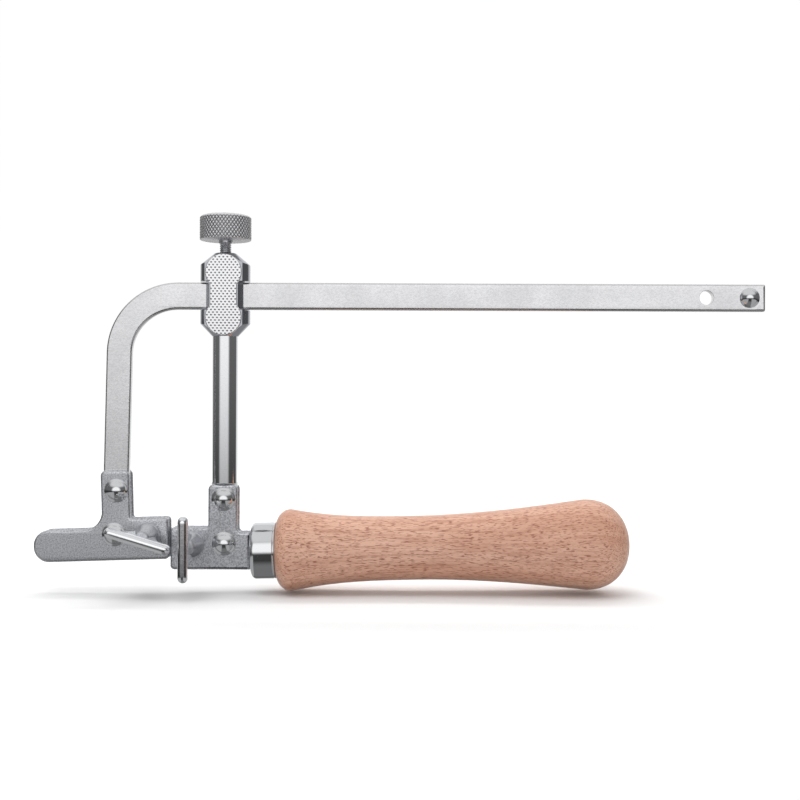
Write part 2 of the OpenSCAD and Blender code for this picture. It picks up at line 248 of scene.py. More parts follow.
def plate(name, outer, holes, y0, y1, edge, hole_edge=0.25):
    """A flat plate in the X-Z plane from y0 to y1, with rounded edges and rounded holes."""
    contours = [(anticlockwise(outer), edge, 1)]
    contours += [(anticlockwise(hole), hole_edge, -1) for hole in holes]
    levels = [("front", math.pi / 2 * k / EDGE_STEPS) for k in range(EDGE_STEPS + 1)]
    levels += [("back", math.pi / 2 * k / EDGE_STEPS) for k in range(EDGE_STEPS, -1, -1)]
    verts, faces, rings = [], [], []
    for side, angle in levels:
        ring = []
        for points, r, sign in contours:
            inset = r * (1 - math.sin(angle)) * sign
            depth = r * (1 - math.cos(angle))
            y = y0 + depth if side == "front" else y1 - depth
            start = len(verts)
            for point, normal in zip(points, outward_normals(points)):
                moved = point - normal * inset
                verts.append((moved.x, y, moved.y))
            ring.append((start, len(points)))
        rings.append(ring)
    for ring, following in zip(rings, rings[1:]):
        for (a, count), (b, _) in zip(ring, following):
            for i in range(count):
                j = (i + 1) % count
                faces.append((a + i, a + j, b + j, b + i))
    for ring in (rings[0], rings[-1]):
        flat = [[Vector((verts[start + i][0], verts[start + i][2], 0)) for i in range(count)]
                for start, count in ring]
        index = [start + i for start, count in ring for i in range(count)]
        for triangle in tessellate_polygon(flat):
            faces.append(tuple(index[i] for i in triangle))
    return smooth(make_object(name, verts, faces))


def skin(name, rings, sharp_angle=50):
    """Joins rings of points into a closed surface, with a fan at each end."""
    verts, faces = [], []
    count = len(rings[0])
    for ring in rings:
        verts.extend(ring)
    for k in range(len(rings) - 1):
        a, b = k * count, (k + 1) * count
        for i in range(count):
            j = (i + 1) % count
            faces.append((a + i, a + j, b + j, b + i))
    for start in (0, (len(rings) - 1) * count):
        centre = sum((Vector(verts[start + i]) for i in range(count)), Vector()) / count
        verts.append(centre)
        for i in range(count):
            faces.append((start + i, start + (i + 1) % count, len(verts) - 1))
    return smooth(make_object(name, verts, faces), sharp_angle)


def ring_at(place, r, s, steps=ROUND):
    """A ring about the local axis; place maps (across, up, along) to a point."""
    return [place(r * math.cos(math.tau * i / steps), r * math.sin(math.tau * i / steps), s)
            for i in range(steps)]


def lathe(name, place, corners, steps=ROUND, arc_steps=6):
    """Turns an open outline of corners (r, s, rounding) about the local axis."""
    outline = rounded(corners, closed=False, steps=arc_steps)
    return skin(name, [ring_at(place, max(point.x, 0.01), point.y, steps) for point in outline])


def upright(x, y=0.0):
    return lambda a, b, s: Vector((x + a, y + b, s))


def to_front(at):
    """A turned piece that points to the front, -Y; s is the distance from the middle plane."""
    return lambda a, b, s: Vector((at[0] + a, -s, at[1] + b))


def along_handle(a, b, s):
    """The handle's own axis, which rises a little to the rear."""
    tilt = math.radians(HANDLE_TILT)
    return Vector((s * math.cos(tilt) - b * math.sin(tilt), a, s * math.sin(tilt) + b * math.cos(tilt)))


def turned_xz(points, centre, degrees):
    """Turns X-Z points about centre, anticlockwise as seen from the front."""
    turn = Matrix.Rotation(math.radians(degrees), 2)
    middle = Vector(centre)
    return [middle + turn @ (Vector(point) - middle) for point in points]


# ---- materials ----

class Shader:
    """A Principled material and a few short ways to add procedural nodes to it."""

    def __init__(self, name, **sockets):
        self.material = bpy.data.materials.new(name)
        self.material.use_nodes = True
        self.tree = self.material.node_tree
        self.surface = self.tree.nodes["Principled BSDF"]
        for socket, value in sockets.items():
            self.surface.inputs[socket.replace("_", " ")].default_value = value
        self.coordinates = self.tree.nodes.new("ShaderNodeTexCoord").outputs["Object"]

    def add(self, kind, **inputs):
        made = self.tree.nodes.new(kind)
        for socket, value in inputs.items():
            self.put(made.inputs[socket.replace("_", " ")], value)
        return made

    def put(self, socket, value):
        if isinstance(value, bpy.types.NodeSocket):
            self.tree.links.new(value, socket)
        else:
            socket.default_value = value

    def mapped(self, scale, turn=(0, 0, 0)):
        """Object coordinates in millimetres, turned and then stretched."""
        node = self.add("ShaderNodeMapping", Vector=self.coordinates)
        node.inputs["Scale"].default_value = [v / MM for v in scale]
        node.inputs["Rotation"].default_value = [math.radians(v) for v in turn]
        return node.outputs["Vector"]

    def noise(self, scale, detail=3.0, roughness=0.5, turn=(0, 0, 0), distortion=0.0):
        node = self.add("ShaderNodeTexNoise", Vector=self.mapped(scale, turn), Scale=1.0,
                        Detail=detail, Roughness=roughness, Distortion=distortion)
        return node.outputs["Fac"]

    def spread(self, value, low, high, to_low=0.0, to_high=1.0):
        """Maps low..high to to_low..to_high, smoothly and clamped."""
        node = self.tree.nodes.new("ShaderNodeMapRange")
        node.interpolation_type = "SMOOTHSTEP"
        for socket, v in zip(("Value", "From Min", "From Max", "To Min", "To Max"),
                             (value, low, high, to_low, to_high)):
            self.put(node.inputs[socket], v)
        return node.outputs["Result"]

    def math(self, operation, a, b=0.0):
        node = self.tree.nodes.new("ShaderNodeMath")
        node.operation = operation
        self.put(node.inputs[0], a)
        self.put(node.inputs[1], b)
        return node.outputs["Value"]

    def mix(self, amount, a, b):
        node = self.tree.nodes.new("ShaderNodeMix")
        node.data_type = "RGBA"
        self.put(node.inputs["Factor"], amount)
        self.put(node.inputs["A"], a)
        self.put(node.inputs["B"], b)
        return node.outputs["Result"]

    def bump(self, height, distance, strength=1.0, onto=None):
        node = self.add("ShaderNodeBump", Height=height)
        node.inputs["Distance"].default_value = distance * MM
        node.inputs["Strength"].default_value = strength
        if onto is not None:
            self.put(node.inputs["Normal"], onto)
        return node.outputs["Normal"]

    def set(self, socket, value):
        self.put(self.surface.inputs[socket], value)


def rgb(r, g, b):
    """A linear colour from a display colour of 0 to 255."""
    def linear(v):
        v /= 255
        return v / 12.92 if v <= 0.04045 else ((v + 0.055) / 1.055) ** 2.4
    return (linear(r), linear(g), linear(b), 1.0)


def darker(colour, share):
    return tuple(v * share for v in colour[:3]) + (1.0,)


def beech():
    """Pale varnished beech, grain along X, with short darker ray flecks."""
    wood = Shader("beech", Coat_Weight=0.45, Coat_Roughness=0.34)
    broad = wood.noise((0.012, 0.16, 0.16), detail=4, distortion=0.6)
    fine = wood.noise((0.06, 1.2, 1.2), detail=5, roughness=0.7)
    flecks = wood.noise((0.48, 3.5, 3.5), detail=1, roughness=0.4)
    fleck = wood.spread(flecks, 0.55, 0.66)
    tone = wood.mix(wood.spread(broad, 0.35, 0.68), rgb(221, 176, 152), rgb(205, 155, 130))
    tone = wood.mix(wood.spread(fine, 0.42, 0.70, 0.0, 0.7), tone, rgb(178, 122, 96))
    tone = wood.mix(wood.math("MULTIPLY", fleck, 0.85), tone, rgb(146, 82, 58))
    wood.set("Base Color", tone)
    wood.set("Roughness", wood.spread(fine, 0.3, 0.7, 0.40, 0.52))
    grain = wood.bump(fine, 0.02)
    wood.set("Normal", wood.bump(fleck, -0.012, onto=grain))
    return wood.material


def satin_nickel(name, colour, roughness, grain, grain_scale, stretch, speckle):
    """Plated steel with a fine grain; stretch below 1 draws the grain out along an axis."""
    metal = Shader(name, Metallic=1.0)
    scale = tuple(grain_scale * v for v in stretch)
    fine = metal.noise(scale, detail=4, roughness=0.7)
    cloud = metal.noise((0.06, 0.06, 0.06), detail=3)
    base = metal.mix(metal.spread(cloud, 0.3, 0.7), colour, darker(colour, 0.94))
    metal.set("Base Color", metal.mix(metal.spread(fine, 0.38, 0.66, 0.0, speckle), base,
                                      darker(colour, 0.45)))
    metal.set("Roughness", metal.spread(cloud, 0.3, 0.7, roughness, roughness + 0.05))
    metal.set("Normal", metal.bump(fine, grain))
    return metal.material


def polished(name, colour, roughness=0.08, wave=0.0):
    """Bright chrome with a few faint handling marks; wave is the depth of hand-polished waviness."""
    metal = Shader(name, Metallic=1.0, Base_Color=colour)
    marks = metal.noise((0.5, 0.5, 3.0), detail=5, roughness=0.6)
    metal.set("Roughness", metal.spread(marks, 0.35, 0.8, roughness, roughness + 0.1))
    ripple = metal.noise((0.45, 0.45, 0.45), detail=2)
    metal.set("Normal", metal.bump(marks, 0.002, onto=metal.bump(ripple, wave)))
    return metal.material


def pitted_chrome():
    """The chequered pads: bright faces, and painted shade in the pits."""
    metal = Shader("pitted_chrome", Metallic=1.0)
    pit = metal.add("ShaderNodeAttribute")
    pit.attribute_name = "pit"
    depth = pit.outputs["Fac"]
    fine = metal.noise((2.0, 2.0, 2.0), detail=3)
    # painted shade: the base colour darkens where the pits are sunk deepest
    metal.set("Base Color", metal.mix(metal.spread(depth, 0.05, 0.8), rgb(244, 244, 246),
                                      rgb(172, 173, 178)))
    metal.set("Roughness", metal.spread(depth, 0.0, 1.0, 0.22, 0.4))
    metal.set("Normal", metal.bump(fine, 0.004))
    return metal.material


def knurled():
    """Plated knurl: bright crests and painted shade in the grooves."""
    metal = Shader("knurled_plate", Metallic=1.0)
    groove = metal.add("ShaderNodeAttribute")
    groove.attribute_name = "groove"
    fine = metal.noise((2.5, 2.5, 2.5), detail=3)
    # painted shade: the base colour darkens down into the knurl grooves
    metal.set("Base Color", metal.mix(metal.spread(groove.outputs["Fac"], 0.45, 1.0),
                                      rgb(252, 252, 254), rgb(104, 105, 112)))
    metal.set("Roughness", metal.spread(fine, 0.3, 0.7, 0.42, 0.52))
    metal.set("Normal", metal.bump(fine, 0.006))
    return metal.material


def screw_steel():
    """Oiled plain steel of the screw threads."""
    metal = Shader("screw_steel", Metallic=1.0)
    film = metal.noise((0.8, 0.8, 0.8), detail=4)
    metal.set("Base Color", metal.mix(metal.spread(film, 0.35, 0.7), rgb(222, 223, 227),
                                      rgb(168, 168, 173)))
    metal.set("Roughness", metal.spread(film, 0.3, 0.7, 0.22, 0.34))
    return metal.material


def brass():
    metal = Shader("brass", Metallic=1.0)
    tarnish = metal.noise((0.5, 0.5, 0.5), detail=4)
    metal.set("Base Color", metal.mix(metal.spread(tarnish, 0.4, 0.75), rgb(214, 178, 98),
                                      rgb(168, 130, 66)))
    metal.set("Roughness", metal.spread(tarnish, 0.3, 0.7, 0.25, 0.4))
    return metal.material


WOOD = beech()
BAR_PLATE = satin_nickel("bar_plate", rgb(240, 240, 242), 0.24, 0.004, 2.2, (0.6, 1, 1), 0.28)
FRONT_JAW_PLATE = satin_nickel("front_jaw_plate", rgb(236, 238, 243), 0.34, 0.04, 2.3, (1, 1, 1), 0.9)
REAR_JAW_PLATE = satin_nickel("rear_jaw_plate", rgb(236, 238, 244), 0.36, 0.045, 2.2, (1, 1, 1), 0.95)
CHROME = polished("chrome", rgb(232, 233, 235), 0.06)
BLOCK_CHROME = polished("block_chrome", rgb(178, 180, 186), 0.1)
WING_CHROME = polished("wing_chrome", rgb(246, 247, 250), 0.1, 0.012)
HUB_PLATE = satin_nickel("hub_plate", rgb(214, 216, 221), 0.34, 0.02, 1.7, (1, 1, 1), 0.5)
PITTED = pitted_chrome()
KNURLED = knurled()
SCREW = screw_steel()
PAD_STEEL = satin_nickel("pad_steel", rgb(176, 176, 180), 0.34, 0.01, 1.5, (1, 1, 0.3), 0.3)
BRASS = brass()


# ---- back bar and stop rivet ----

def bar_outline():
    """The bar with its quarter bend and the slightly leaning leg."""
    steps = 40
    leg_lean = math.radians(LEG_LEAN)
    bend_z = BAR_TOP - BEND_OUTER_R
    drop = bend_z - bar_low.z
    # the foot's outer corner is the lowest X of the whole bar
    leg_len = drop / math.cos(leg_lean)
    bend_x = bar_low.x + BEND_OUTER_R * math.cos(leg_lean) + leg_len * math.sin(leg_lean)
    end_angle = math.pi - leg_lean
    foot = Vector((-math.sin(leg_lean), -math.cos(leg_lean))) * leg_len

    def bend_point(angle, r):
        return Vector((bend_x + r * math.cos(angle), bend_z + r * math.sin(angle)))

    outer, inner = [], []
    for i in range(steps + 1):
        t = i / steps
        angle = math.pi / 2 + (end_angle - math.pi / 2) * t
        outer.append(bend_point(angle, BEND_OUTER_R))
        ease = (3 - 2 * t) * t * t
        inner.append(bend_point(angle, BEND_OUTER_R - BAR_W + (BAR_W - LEG_W) * ease))
    end = rounded([(bar_high.x - 4, BAR_BOTTOM, 0), (bar_high.x, BAR_BOTTOM, 0.5),
                   (bar_high.x, BAR_TOP, 0.5), (bar_high.x - 4, BAR_TOP, 0)], closed=False, steps=4)
    return end + outer + [outer[-1] + foot, inner[-1] + foot] + inner[::-1]


def make_back_bar():
    hole = circle(bar_high.x - HANG_HOLE_INSET, BAR_MIDDLE, HANG_HOLE_R, 56)
    bar = plate("flat_bar", bar_outline(), [hole], BAR_FRONT, BAR_BACK, BAR_EDGE, 0.12)
    finish_piece(bar, "bow", "bar_steel", BAR_PLATE, "back_bar")


def dome_corners(y_seat, head_r, head_h, steps=14):
    """Half outline of a domed head that stands on y_seat, with a flat rim round the dome."""
    rim, dome_r = 0.45, head_r * 0.8
    rim_break, foot_width = 0.15, 0.05
    ball = (dome_r ** 2 + (head_h - rim) ** 2) / (2 * (head_h - rim))
    reach = math.asin(dome_r / ball)
    corners = [(head_r, y_seat, 0), (head_r, y_seat + rim * 0.4, 0),
               (head_r - rim_break, y_seat + rim * 0.8, 0), (dome_r + foot_width, y_seat + rim, 0)]
    for k in range(1, steps + 1):
        angle = reach * (1 - k / steps)
        corners.append((ball * math.sin(angle), y_seat + head_h - ball * (1 - math.cos(angle)), 0))
    return corners


def domed_rivet(name, at, y_seat, shank_r, head_r, head_h):
    """A rivet with a domed head on each side, in one closed skin."""
    back = [(r, -s, 0) for r, s, _ in dome_corners(y_seat, head_r, head_h)][::-1]
    shank = [(shank_r, -y_seat, 0), (shank_r, y_seat, 0)]
    return lathe(name, to_front(at), back + shank + dome_corners(y_seat, head_r, head_h), 64)


def make_rivets():
    stop_low, stop_high = mm_box("stop_rivet")
    stop_at = ((stop_low.x + stop_high.x) / 2, BAR_MIDDLE)
    stop = domed_rivet("stop_rivet_domed", stop_at, BAR_BACK, 1.6, (stop_high.x - stop_low.x) / 2,
                       stop_high.y - BAR_BACK)
    finish_piece(stop, "bow", "chrome", CHROME, "stop_rivet")
    for prefix, rivets, body in (("front", FRONT_RIVETS, "bow"), ("rear", REAR_RIVETS, "handle_frame")):
        low, high = mm_box(f"{prefix}_jaw_rivets")
        seat = mm_box(f"{prefix}_jaw_rear_cheek")[1].y
        head_r = (high.x - low.x - abs(rivets[0][0] - rivets[1][0])) / 2
        parts = [domed_rivet(f"{prefix}_{i}", at, seat, RIVET_R, head_r, high.y - seat)
                 for i, at in enumerate(rivets)]
        for part in parts:
            apply_modifiers(part)
        both = smooth(join(f"{prefix}_jaw_rivets_domed", parts), 60)
        finish_piece(both, body, "chrome", CHROME, f"{prefix}_jaw_rivets")


# ---- jaws ----

def front_cheek_outline():
    """The front jaw's T-shaped cheek, drawn about the pivot, with the push tail to the left."""
    tail_left, leg_left, leg_right, arm_right = -27.1, -4.35, 5.1, 17.6
    bottom, tail_top, arm_top, leg_top = -8.75, 1.8, 5.0, 21.1
    corners = [(tail_left, bottom, 5), (arm_right, bottom, 1.3), (arm_right, arm_top, 1.3),
               (leg_right, arm_top, 0.8), (leg_right, leg_top, 1.9), (leg_left, leg_top, 1.9),
               (leg_left, tail_top, 5.6), (tail_left, tail_top, 5)]
    outline = rounded(corners, steps=12)
    placed = [point + Vector(FRONT_PIVOT) for point in outline]
    return turned_xz(placed, FRONT_PIVOT, FRONT_TILT)


def rear_cheek_outline():
    """The rear jaw's cheek: an arm for the screw, a leg up to the post and a foot to the tang."""
    right = mm_box("rear_jaw_front_cheek")[1].x
    arm_left, leg_left, leg_right = -93.45, -81.0, -71.3
    bottom, foot_top, arm_top, leg_top = -7.45, 4.9, 6.5, 20.8
    corners = [(arm_left, bottom, 1.3), (right, bottom, 0.4), (right, foot_top, 0.4),
               (leg_right, foot_top, 1.3), (leg_right, leg_top, 1.9), (leg_left, leg_top, 1.9),
               (leg_left, arm_top, 1.0), (arm_left, arm_top, 1.3)]
    return rounded(corners, steps=10)


def make_cheeks():
    jaws = (("front", front_cheek_outline(), FRONT_RIVETS, FRONT_SCREW, "bow", FRONT_JAW_PLATE),
            ("rear", rear_cheek_outline(), REAR_RIVETS, REAR_SCREW, "handle_frame", REAR_JAW_PLATE))
    for jaw, outline, rivets, screw, body, material in jaws:
        for side in ("front", "rear"):
            node = f"{jaw}_jaw_{side}_cheek"
            low, high = mm_box(node)
            holes = [circle(*at, RIVET_R) for at in rivets]
            if side == "front":
                holes.append(circle(*screw, BUSH_R))
            cheek = plate(f"{node}_plate", outline, holes, low.y, high.y, CHEEK_EDGE, 0.1)
            finish_piece(cheek, body, "jaw_steel", material, node)


def make_bushes():
    for prefix, at, body in (("front", FRONT_SCREW, "bow"), ("rear", REAR_SCREW, "handle_frame")):
        low, high = mm_box(f"{prefix}_screw_bush")
        flange_r = (high.x - low.x) / 2
        inner, seat, face = -high.y, -mm_box(f"{prefix}_jaw_front_cheek")[0].y, -low.y
        bore = THREAD_R + 0.05
        corners = [(bore, inner, 0), (BUSH_R, inner, 0.1), (BUSH_R, seat, 0), (flange_r, seat, 0.1),
                   (flange_r, face, 0.35), (bore, face, 0.3), (bore, inner, 0)]
        finish_piece(tube(f"{prefix}_bush_flanged", to_front(at), corners), body, "chrome", HUB_PLATE,
                     f"{prefix}_screw_bush")


def tube(name, place, corners, steps=ROUND):
    """Turns a closed outline that doesn't reach the axis, given as corners (r, s, rounding)."""
    outline = rounded(corners[:-1], closed=True, steps=4)
    count = len(outline)
    verts, faces = [], []
    for point in outline:
        verts.extend(ring_at(place, point.x, point.y, steps))
    for k in range(count):
        a, b = k * steps, (k + 1) % count * steps
        for i in range(steps):
            j = (i + 1) % steps
            faces.append((a + i, a + j, b + j, b + i))
    return smooth(make_object(name, verts, faces))


# ---- wing screws ----

def make_wing(prefix, at, turn, body):
    """Outer band and waisted web, merged and softened as one forged piece."""
    node = f"{prefix}_wing"
    low, high = mm_box(node)
    reach = -low.y
    half = max(high.x - low.x, high.z - low.z) / 2
    if turn % 90:
        tilt = math.radians(abs(turn))
        half = (max(high.x - low.x, high.z - low.z) - WING_BAND_T * math.sin(tilt)) / 2 / math.cos(tilt)
    foot, foot_y = 3.6, -high.y
    band_h, corner = 4.3, 1.9
    band = rounded([(-half, reach - band_h, corner), (half, reach - band_h, corner),
                    (half, reach, corner), (-half, reach, corner)], steps=8)
    flare = half - corner - foot
    rise = reach - band_h / 2 - foot_y
    right = [Vector((foot + flare * (0.55 * t + 0.45 * t ** 5), foot_y + rise * t))
             for t in (k / 14 for k in range(15))]
    web = right + [Vector((-p.x, p.y)) for p in right[::-1]]
    parts = [plate("band", band, [], -WING_BAND_T / 2, WING_BAND_T / 2, 1.5),
             plate("web", web, [], -WING_WEB_T / 2, WING_WEB_T / 2, 0.5)]
    for part in parts:
        apply_modifiers(part)
    wing = join(f"{node}_forged", parts)
    remesh = wing.modifiers.new("merge", "REMESH")
    remesh.mode = "VOXEL"
    remesh.voxel_size = 0.22 * MM
    soften = wing.modifiers.new("soften", "SMOOTH")
    soften.factor = 0.5
    soften.iterations = 12
    apply_modifiers(wing)
    # drawn with its span on X, its reach on Z and its thickness on Y; stood up facing the front
    swing = Matrix.Rotation(math.radians(90), 4, "X")
    spin = Matrix.Rotation(math.radians(-turn), 4, "Y")
    wing.data.transform(Matrix.Translation(Vector((at[0], 0, at[1])) * MM) @ spin @ swing)
    wing.data.shade_smooth()
    finish_piece(wing, body, "chrome", WING_CHROME, node)


def make_wing_screw(prefix, at, turn, body):
    make_wing(prefix, at, turn, body)
    low, high = mm_box(f"{prefix}_wing_stud")
    hub_y = -mm_box(f"{prefix}_screw_bush")[0].y + 0.5
    tip_y, face_y = -high.y, -low.y
    pilot_r, pilot_h = 1.5, 0.9
    flange_r, shoulder_r, shoulder_h, face_r = 4.2, 4.05, 1.1, 2.5
    corners = [(0, tip_y, 0), (pilot_r, tip_y, 0.2), (pilot_r, tip_y + pilot_h, 0),
               (THREAD_R, tip_y + pilot_h, 0.1), (THREAD_R, hub_y, 0), (flange_r, hub_y, 0.3),
               (shoulder_r, hub_y + shoulder_h, 0.5), (face_r, face_y, 0.8), (0, face_y, 0)]
    finish_piece(lathe(f"{prefix}_wing_hub", to_front(at), corners), body, "chrome", HUB_PLATE,
                 f"{prefix}_wing_stud")


def make_clamp_pads():
    for prefix, at, tilt, body in (("front", FRONT_SCREW, FRONT_TILT, "front_clamp_pad"),
                                   ("rear", REAR_SCREW, 0, "rear_clamp_pad")):
        low, high = mm_box(f"{prefix}_clamp_pad")
        half_w, half_h, corner = 4.0, 4.5, 0.5
        sides = rectangle(at[0] - half_w, at[1] - half_h, at[0] + half_w, at[1] + half_h)
        outline = turned_xz(rounded([(x, z, corner) for x, z in sides]), at, tilt)
        pad = plate(f"{prefix}_pad_plate", outline, [], low.y, high.y, 0.2)
        finish_piece(pad, body, "pad_steel", PAD_STEEL, f"{prefix}_clamp_pad")


# ---- clamp block, post and thumb screw ----

def pad_half_width(z, lobes):
    widths = [math.sqrt(max(0, PAD_LOBE_R ** 2 - (z - lobe) ** 2)) for lobe in lobes]
    if lobes[0] < z < lobes[1]:
        widths.append(WAIST_FACE)
    return max(widths)


def pit_depth(x, z):
    """How far (0 to 1) the staggered row of pits is sunk at a point of the pad."""
    pitch_x, pitch_z, pit_x, pit_z = 1.33, 0.87, 0.40, 0.29
    row = round(z / pitch_z)
    shift = pitch_x / 2 * (row % 2)
    dx = (x - shift) - pitch_x * round((x - shift) / pitch_x)
    q = (dx / pit_x) ** 2 + ((z - row * pitch_z) / pit_z) ** 2
    return max(0.0, 1 - q)


def make_chequered_pad(name, side):
    """One bell-shaped pad with its rows of punched pits; side is -1 for the front."""
    lobes = (block_low.z + PAD_LOBE_R + 0.1, block_high.z - 0.5 - PAD_LOBE_R)
    across, top_y, root_y = 88, abs(block_low.y), BLOCK_FLAT_Y - 0.25
    bottom, top = lobes[0] - PAD_LOBE_R + 0.02, lobes[1] + PAD_LOBE_R - 0.02
    rows = 232
    sunk, edge = 0.08, 0.3
    verts, faces, pits = [], [], []
    for j in range(rows + 1):
        z = bottom + (top - bottom) * j / rows
        width = pad_half_width(z, lobes)
        for i in range(across + 1):
            x = width * (2 * i / across - 1)
            inside = max(PAD_LOBE_R - math.hypot(x, z - lobe) for lobe in lobes)
            if lobes[0] < z < lobes[1]:
                inside = max(inside, WAIST_FACE - abs(x))
            near = 1 - min(1, max(0, inside) / edge)
            pit = pit_depth(x, z) * (1 - near)
            drop = edge * (1 - math.sqrt(1 - near ** 2))
            verts.append((POST_X + x, side * (top_y - drop - sunk * pit), z))
            pits.append(pit)
    row_len = across + 1
    for j in range(rows):
        for i in range(across):
            a = j * row_len + i
            faces.append((a, a + 1, a + row_len + 1, a + row_len))
    border = list(range(row_len))
    border += [j * row_len + across for j in range(1, rows + 1)]
    border += [rows * row_len + i for i in range(across - 1, -1, -1)]
    border += [j * row_len for j in range(rows - 1, 0, -1)]
    start = len(verts)
    for i in border:
        verts.append((verts[i][0], side * root_y, verts[i][2]))
        pits.append(0.0)
    for k in range(len(border)):
        following = (k + 1) % len(border)
        faces.append((border[k], border[following], start + following, start + k))
    floor = [Vector((verts[start + k][0], verts[start + k][2], 0)) for k in range(len(border))]
    faces += [tuple(start + i for i in triangle) for triangle in tessellate_polygon([floor])]
    pad = make_object(name, verts, faces)
    # pit depth; the material also reads it as painted shade in the pits
    attribute = pad.data.attributes.new("pit", "FLOAT", "POINT")
    attribute.data.foreach_set("value", pits)
    pad.data.shade_smooth()
    pad.data.set_sharp_from_angle(angle=math.radians(60))
    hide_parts("clamp_block")
    return finish_piece(pad, "handle_frame", "block_chrome", PITTED)


def prism(name, points, z0, z1):
    """A straight prism over an outline seen from above."""
    count = len(points)
    verts = [(x, y, z0) for x, y in points] + [(x, y, z1) for x, y in points]
    faces = [tuple(range(count)), tuple(range(count, 2 * count))]
    faces += [(i, (i + 1) % count, count + (i + 1) % count, count + i) for i in range(count)]
    return make_object(name, verts, faces)


def rectangle(x0, y0, x1, y1):
    return [(x0, y0), (x1, y0), (x1, y1), (x0, y1)]


def block_section(radius, steps=24):
    """The block seen from above: flat under the pads, curving away from their edges to the sides."""
    side_r, depth_r = radius + 0.05, 6.95
    start = math.asin(BLOCK_FLAT_Y / depth_r)
    curve = [start * (1 - 2 * k / steps) for k in range(steps + 1)]
    right = [(POST_X + side_r * math.cos(a), depth_r * math.sin(a)) for a in curve]
    left = [(POST_X - side_r * math.cos(a), -depth_r * math.sin(a)) for a in curve]
    return right + left


def make_clamp_block():
    low_z, high_z = block_low.z, block_high.z
    radius = (block_high.x - block_low.x) / 2
    foot_r, top_r, cone_low, cone_high = 4.25, 3.6, 4.2, 3.9
    slip, slack, reach = 0.15, 0.3, 12
    corners = [(0, low_z, 0), (foot_r, low_z, 0.15), (radius, low_z + cone_low, 0.5),
               (radius, high_z - cone_high, 0.7), (top_r, high_z, 0.3), (0, high_z, 0)]
    block = apply_modifiers(lathe("clamp_block_turned", upright(POST_X), corners, 128))
    boolean(block, prism("flats", block_section(radius), low_z - 1, high_z + 1), "INTERSECT")
    pad_y = abs(block_low.y)
    waist = [(WAIST_FACE, -pad_y), (WAIST_BODY, -WAIST_Y), (WAIST_BODY, WAIST_Y), (WAIST_FACE, pad_y)]
    for side in (-1, 1):
        section = [(POST_X + side * x, y) for x, y in waist]
        section += [(POST_X + side * reach, pad_y), (POST_X + side * reach, -pad_y)]
        boolean(block, prism("notch", section, BAR_BOTTOM - slack, BAR_TOP + slack), "DIFFERENCE")
    slot_y = BAR_BACK + slip
    boolean(block, prism("slot", rectangle(POST_X - reach, -slot_y, POST_X + reach, slot_y),
                         BAR_BOTTOM - slip, BAR_TOP + slip), "DIFFERENCE")
    plug_room, screw_r = mm_box("pressure_plug")[1].z + 1.4, THREAD_R + 0.05
    bore = lathe("bore", upright(POST_X),
                 [(0, BAR_TOP - 1, 0), (PLUG_BORE_R, BAR_TOP - 1, 0), (PLUG_BORE_R, plug_room, 0),
                  (screw_r, plug_room, 0), (screw_r, high_z + 1, 0), (0, high_z + 1, 0)], 48)
    boolean(block, apply_modifiers(bore), "DIFFERENCE")
    bevel(block, 0.16, 2)
    smooth(block, 40)
    finish_piece(block, "handle_frame", "block_chrome", BLOCK_CHROME, "clamp_block")


def make_post():
    radius = (post_high.x - post_low.x) / 2
    spigot_r, spigot_z = 3.0, block_low.z + 1
    shoulder_z = mm_box("rear_jaw_front_cheek")[1].z
    shaft = lathe("post_turned", upright(POST_X),
                  [(0, shoulder_z, 0), (radius, shoulder_z, 0.35), (radius, spigot_z, 0),
                   (spigot_r, spigot_z, 0), (spigot_r, post_high.z, 0.3), (0, post_high.z, 0)])
    finish_piece(shaft, "handle_frame", "chrome", CHROME)
    half_gap = -mm_box("rear_jaw_front_cheek")[1].y
    tongue = rounded([(POST_X - radius, post_low.z, 0.5), (POST_X + radius, post_low.z, 0.5),
                      (POST_X + radius, shoulder_z + 0.5, 0), (POST_X - radius, shoulder_z + 0.5, 0)])
    flat = plate("post_tongue", tongue, [circle(*REAR_RIVETS[0], RIVET_R)], -half_gap, half_gap, 0.2, 0.1)
    finish_piece(flat, "handle_frame", "chrome", CHROME, "post")
    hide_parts("post")


def threaded(name, place, s0, s1, radius):
    """A rod with a true helical thread from s0 to s1, and plain rounded ends."""
    rows_per_turn, depth, run_out = 12, 0.21, 0.6
    rows = max(2, int((s1 - s0) / THREAD_PITCH * rows_per_turn))
    rings = []
    for k in range(rows + 1):
        s = s0 + (s1 - s0) * k / rows
        fade = min(1, (s - s0) / run_out, (s1 - s) / run_out)
        ring = []
        for i in range(48):
            phase = (s / THREAD_PITCH - i / 48) % 1
            r = radius - depth * fade * (0.5 - 0.5 * math.cos(math.tau * phase)) - 0.25 * (1 - fade)
            angle = math.tau * i / 48
            ring.append(place(r * math.cos(angle), r * math.sin(angle), s))
        rings.append(ring)
    return skin(name, rings, 180)


def make_thumb_screw():
    shank_low, shank_high = mm_box("thumb_screw_shank")
    neck_h, neck_r, sunk = 1.2, 2.3, 0.3
    neck_z, socket_z = knob_low.z - neck_h, knob_low.z + 0.2
    thread = threaded("thumb_screw_thread", upright(POST_X), shank_low.z, neck_z + sunk, THREAD_R)
    finish_piece(thread, "thumb_screw", "screw_steel", SCREW)
    neck = lathe("thumb_screw_neck", upright(POST_X),
                 [(0, neck_z, 0), (neck_r, neck_z, 0.25), (neck_r, socket_z, 0),
                  (THREAD_R, socket_z, 0), (THREAD_R, shank_high.z, 0), (0, shank_high.z, 0)], 48)
    finish_piece(neck, "thumb_screw", "screw_steel", SCREW, "thumb_screw_shank")
    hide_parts("thumb_screw_shank")


